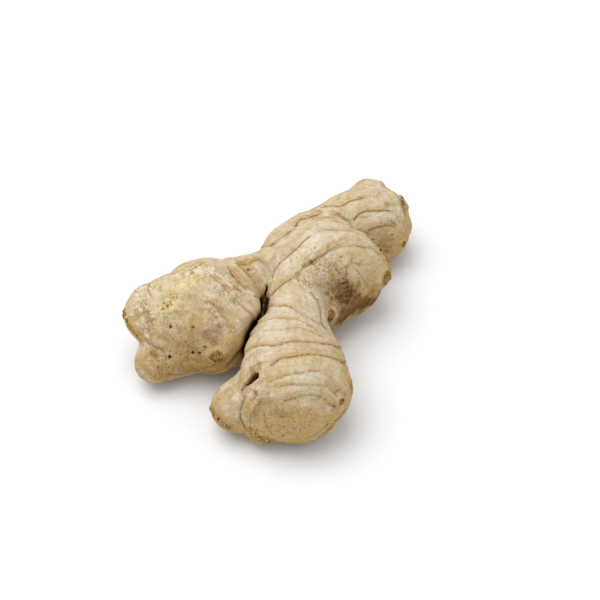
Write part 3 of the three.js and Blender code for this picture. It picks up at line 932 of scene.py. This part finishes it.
def ginger_skin():
    """Fresh ginger's skin, a thin dry cork over pale flesh: straw to tan, mottled, with a thin dark line at
    the foot of each leaf scar, rough brown cork on scars and buds, and only a faint shine."""
    material = bpy.data.materials.new("ginger_skin")
    material.use_nodes = True
    tree = material.node_tree
    tree.nodes.clear()
    place = add_node(tree, "TexCoord").outputs["Object"]
    on_lobe = add_node(tree, "Attribute", {"attribute_name": "lobe_place"}).outputs["Vector"]
    mask = {
        name: add_node(tree, "Attribute", {"attribute_name": name}).outputs["Fac"]
        for name in masks
    }

    def spread(value, low, high, start=0.0, end=1.0):
        """start at low, end at high and beyond, and a smooth change between."""
        settings = {"interpolation_type": "SMOOTHSTEP"}
        limits = {"From_Min": low, "From_Max": high, "To_Min": start, "To_Max": end}
        return add_node(tree, "MapRange", settings, Value=value, **limits).outputs[0]

    def grain(size_mm, detail=3.0):
        """Noise of a size on the real root, from about 0.3 to 0.7."""
        inputs = {"Scale": 1 / (size_mm * MM), "Detail": detail, "Roughness": 0.55}
        return add_node(tree, "TexNoise", Vector=place, **inputs).outputs["Fac"]

    def streaks(along_mm, round_mm):
        """Noise drawn out along the lobe or round it, from about 0.3 to 0.7."""
        scale = (1 / along_mm, 1 / round_mm, 1 / round_mm)
        settings = {"operation": "MULTIPLY"}
        scaled = add_node(tree, "VectorMath", settings, input_0=on_lobe, input_1=scale)
        inputs = {"Scale": 1.0, "Detail": 3.0, "Roughness": 0.6}
        return add_node(tree, "TexNoise", Vector=scaled.outputs[0], **inputs).outputs["Fac"]

    def pattern(size_mm, low, high):
        return spread(grain(size_mm), low, high)

    def maths(operation, a, b=0.0):
        return add_node(tree, "Math", {"operation": operation}, input_0=a, input_1=b).outputs[0]

    def times(a, b):
        return maths("MULTIPLY", a, b)

    def patchy(name, size_mm, low, high):
        """A mask of the mesh, broken up by noise."""
        return times(mask[name], pattern(size_mm, low, high))

    def contours(value, width):
        """Thin lines where a noise passes its middle."""
        return spread(maths("ABSOLUTE", maths("SUBTRACT", value, 0.5)), 0.25 * width, width, 1, 0)

    ring_size = maths("ABSOLUTE", mask["ring"])
    crack_size = maths("ABSOLUTE", mask["crack"])
    broken = pattern(1.3, 0.36, 0.56)
    ring_line = times(times(spread(ring_size, 0.03, 0.2, 1, 0), mask["ring_strength"]), broken)
    ring_glow = times(times(spread(ring_size, 0.1, 0.9, 1, 0), mask["ring_strength"]), broken)
    crack_break = maths("MAXIMUM", pattern(1.0, 0.3, 0.45), spread(mask["crack_strength"], 0.85, 0.98))
    crack_and_gap_shadow = times(times(spread(crack_size, 0.3, 1.2, 1, 0), mask["crack_strength"]), crack_break)
    crack_glow = times(spread(crack_size, 0.6, 3.5, 1, 0), mask["crack_strength"])
    # Bands beside each ring, pale past it and tan before it: partly the skin's tone, partly painted light
    # and shade of the ring's step
    past_ring = times(spread(mask["ring"], 0.1, 2.6, 1, 0), spread(mask["ring"], 0.0, 0.3))
    past_ring = times(past_ring, mask["ring_strength"])
    before_ring = times(spread(mask["ring"], -3.0, -0.1), spread(mask["ring"], -0.1, 0.2, 1, 0))
    before_ring = times(before_ring, mask["ring_strength"])
    bud_disc = spread(mask["bud_place"], 0.7, 1.05, 1, 0)
    bud_pits = times(spread(mask["bud_place"], 0.55, 0.95, 1, 0), pattern(0.6, 0.49, 0.57))
    bud_rim = spread(maths("ABSOLUTE", maths("SUBTRACT", mask["bud_place"], 1.1)), 0.05, 0.25, 1, 0)
    dark = maths("MAXIMUM", maths("MAXIMUM", mask["wound"], crack_and_gap_shadow), mask["dot"])
    fine_rounds = times(contours(streaks(1.6, 11), 0.016), pattern(6, 0.4, 0.6))
    fine_lengths = times(contours(streaks(13, 1.5), 0.014), pattern(5, 0.42, 0.6))
    fine_cracks = contours(grain(3.0, 4.0), 0.018)
    jitter = add_node(tree, "TexNoise", Vector=place, Scale=1 / (2.5 * MM)).outputs["Color"]
    shifted = {"input_0": jitter, "input_1": (2.5 * MM,) * 3, "input_2": place}
    shifted = add_node(tree, "VectorMath", {"operation": "MULTIPLY_ADD"}, **shifted).outputs[0]
    edge_distance = {"Vector": shifted, "Scale": 1 / (2.3 * MM)}
    edge_distance = add_node(tree, "TexVoronoi", {"feature": "DISTANCE_TO_EDGE"}, **edge_distance)
    flake_edges = spread(edge_distance.outputs["Distance"], 0.02, 0.09, 1, 0)
    flake_edges = times(times(flake_edges, pattern(3.5, 0.42, 0.55)), mask["flake"])
    specks = spread(grain(0.75, 2.0), 0.6, 0.68)

    # Layers over the base colour: where each lies, how strongly it covers, and its colour
    skin = linear("#dcd2ba")
    layers = [
        (pattern(14, 0.42, 0.62), 0.7, "#d3c39d"),
        (pattern(9, 0.48, 0.62), 0.35, "#ceb074"),
        (pattern(5, 0.47, 0.66), 0.45, "#cbb482"),
        (pattern(2.4, 0.5, 0.66), 0.45, "#bea168"),
        (spread(streaks(7, 0.9), 0.48, 0.66), 0.35, "#bc9c68"),
        (spread(streaks(0.8, 6), 0.5, 0.66), 0.4, "#b89560"),
        (pattern(1.1, 0.5, 0.64), 0.12, "#ece2cb"),
        # Pale: paler skin, and painted light on the tops of the lobes
        (patchy("pale", 3.0, 0.3, 0.55), 1, "#e6dbc3"),
        # Tan before each ring and pale past it: partly the skin's tone, partly painted light and shade of
        # the ring's step
        (before_ring, 0.5, "#bb9859"),
        (past_ring, 0.4, "#e8dcc0"),
        # Painted shade on the faces that look down, as a golden tint
        (patchy("under", 7, 0.25, 0.6), 1, "#cba868"),
        (patchy("face", 6, 0.35, 0.65), 1, "#cbb17e"),
        # Tan: the skin's tan patches, and painted shade on the lower parts
        (patchy("tan", 2.0, 0.3, 0.55), 1, "#ae8544"),
        # Grey: greyish patches of the skin, and painted shade at the edge of the front lobe's end cap
        (patchy("grey", 2.0, 0.32, 0.6), 1, "#a1845a"),
        (patchy("lilac", 1.2, 0.25, 0.5), 0.9, "#987e66"),
        (patchy("yellow", 2.2, 0.35, 0.6), 1, "#e9dca8"),
        # Painted shadow on the middle lobe's underside
        (patchy("painted_underside_shadow", 4.0, 0.2, 0.45), 1, "#644620"),
        (patchy("brown", 3.2, 0.32, 0.52), 1, "#94703c"),
        (times(spread(mask["brown"], 0.4, 0.9), pattern(1.5, 0.42, 0.6)), 1, "#5a3f1d"),
        (patchy("flake", 2.6, 0.47, 0.53), 0.65, "#ede3cc"),
        (times(mask["flake"], fine_cracks), 0.6, "#a67c3a"),
        (flake_edges, 0.8, "#a37330"),
        (patchy("flake", 1.2, 0.52, 0.58), 0.3, "#bd9553"),
        (fine_cracks, 0.2, "#a8834c"),
        (fine_rounds, 0.55, "#a47f42"),
        (fine_lengths, 0.4, "#a9844d"),
        (specks, 0.25, "#8f6c38"),
        # Painted shade on the faces that look down, as denser brown specks
        (times(pattern(0.8, 0.5, 0.62), spread(mask["under"], 0.0, 0.8, 0.12, 0.45)), 1, "#a07a40"),
        (times(mask["speck"], specks), 0.8, "#6f4c1f"),
        (spread(mask["pitted"], 0.1, 0.9, 0, 0.55), 1, "#e3cb84"),
        (times(spread(mask["pitted"], 0.2, 0.8), pattern(0.6, 0.52, 0.58)), 0.9, "#94621c"),
        (ring_glow, 0.5, "#b98a45"),
        (ring_line, 1, "#855724"),
        (crack_glow, 0.55, "#a97a3a"),
        # Dark lines of the cracks and creases, partly the skin's cracks and partly painted shadow, with a
        # nearly black painted shadow in the deep gaps
        (crack_and_gap_shadow, 1, "#4f2c0d"),
        (spread(crack_and_gap_shadow, 0.7, 0.95), 1, "#1c0f05"),
        # Painted shade in the creases between lobes, brown and then nearly black where other skin stands
        # closest
        (spread(mask["painted_crease_shade"], 0.3, 0.9), 0.8, "#845a22"),
        (spread(mask["painted_crease_shade"], 0.65, 1.0), 1, "#2e1b0b"),
        (patchy("cork", 1.2, 0.35, 0.5), 1, "#b89459"),
        (patchy("cork", 0.7, 0.49, 0.57), 1, "#604019"),
        (times(bud_rim, pattern(1.1, 0.44, 0.56)), 0.55, "#dac795"),
        (times(bud_disc, pattern(1.4, 0.3, 0.5)), 1, "#ad8647"),
        (bud_pits, 0.9, "#563a14"),
        (spread(mask["dot"], 0.1, 0.6, 0, 0.8), 1, "#94692f"),
        (spread(mask["dot"], 0.5, 0.9), 1, "#3b240c"),
        (spread(mask["wound"], 0.0, 0.5), 1, "#7a4a20"),
        (times(spread(mask["wound"], 0.5, 1.0), pattern(1.3, 0.38, 0.52)), 1, "#3a1706"),
    ]
    for factor, share, colour in layers:
        mix = {"input_0": times(factor, share), "input_6": skin, "input_7": linear(colour)}
        skin = add_node(tree, "Mix", {"data_type": "RGBA"}, **mix).outputs[2]
    shade = {"data_type": "RGBA", "blend_type": "MULTIPLY"}
    grey = (SKIN_SHARE, SKIN_SHARE, SKIN_SHARE, 1)
    skin = add_node(tree, "Mix", shade, input_0=1.0, input_6=skin, input_7=grey).outputs[2]

    relief = None
    for value, strength, deep in (
        (streaks(2.5, 1.0), 0.5, 0.4),
        (streaks(1.0, 5), 0.5, 0.3),
        (grain(0.9, 4.0), 0.8, 0.45),
        (maths("SUBTRACT", 1.0, fine_rounds), 0.5, 0.15),
        (maths("SUBTRACT", 1.0, flake_edges), 0.6, 0.25),
    ):
        inputs = {"Height": value, "Strength": strength, "Distance": deep * MM}
        if relief is not None:
            inputs["Normal"] = relief
        relief = add_node(tree, "Bump", **inputs).outputs["Normal"]
    surface = add_node(
        tree,
        "BsdfPrincipled",
        Base_Color=skin,
        Roughness=spread(grain(3.0), 0.35, 0.65, 0.65, 0.85),
        Normal=relief,
        Subsurface_Weight=0.12,
        Specular_IOR_Level=spread(dark, 0.0, 0.6, 0.1, 0.0),
    )
    surface.inputs["Subsurface Radius"].default_value = (0.004, 0.002, 0.0008)
    surface.inputs["Subsurface Scale"].default_value = 0.5
    add_node(tree, "OutputMaterial", Surface=surface.outputs["BSDF"])
    return material


def pale_floor():
    """A matt white table top, a little below the root."""
    mesh = bpy.data.meshes.new("floor")
    corners = [(-1, -1), (1, -1), (1, 1), (-1, 1)]
    corners = [(FLOOR_HALF * x, FLOOR_HALF * y, -0.0001) for x, y in corners]
    mesh.from_pydata(corners, [], [(0, 1, 2, 3)])
    material = bpy.data.materials.new("white_paper")
    material.use_nodes = True
    principled = material.node_tree.nodes["Principled BSDF"]
    principled.inputs["Base Color"].default_value = FLOOR_COLOUR
    principled.inputs["Roughness"].default_value = 0.9
    principled.inputs["Specular IOR Level"].default_value = 0.1
    mesh.materials.append(material)
    add_object("floor", mesh)


def studio(shift):
    """White surroundings, one very soft light from above and a little from the left, and the camera of the
    photograph."""
    scene = bpy.context.scene
    scene.world = bpy.data.worlds.new("studio")
    scene.world.use_nodes = True
    background = scene.world.node_tree.nodes["Background"]
    background.inputs["Color"].default_value = (1, 1, 1, 1)
    background.inputs["Strength"].default_value = SKY_STRENGTH
    light = bpy.data.lights.new("soft_sky", "SUN")
    light.energy = SUN_STRENGTH
    light.angle = SUN_ANGLE
    lamp = add_object("soft_sky", light)
    lamp.rotation_euler = Vector(SUN_DIRECTION).to_track_quat("-Z", "Y").to_euler()
    scene.view_settings.view_transform = "Standard"

    camera = add_object("camera", bpy.data.cameras.new("camera"))
    camera.data.sensor_width = 36
    camera.data.lens = 36 * FOCAL_PIXELS / PHOTO_SIZE
    camera.location = (EYE + shift) * MM
    camera.rotation_euler = (np.pi / 2 - ELEVATION, 0, 0)
    scene.camera = camera


ginger, shift = root_piece()
ginger.data.materials.append(ginger_skin())
pale_floor()
studio(shift)
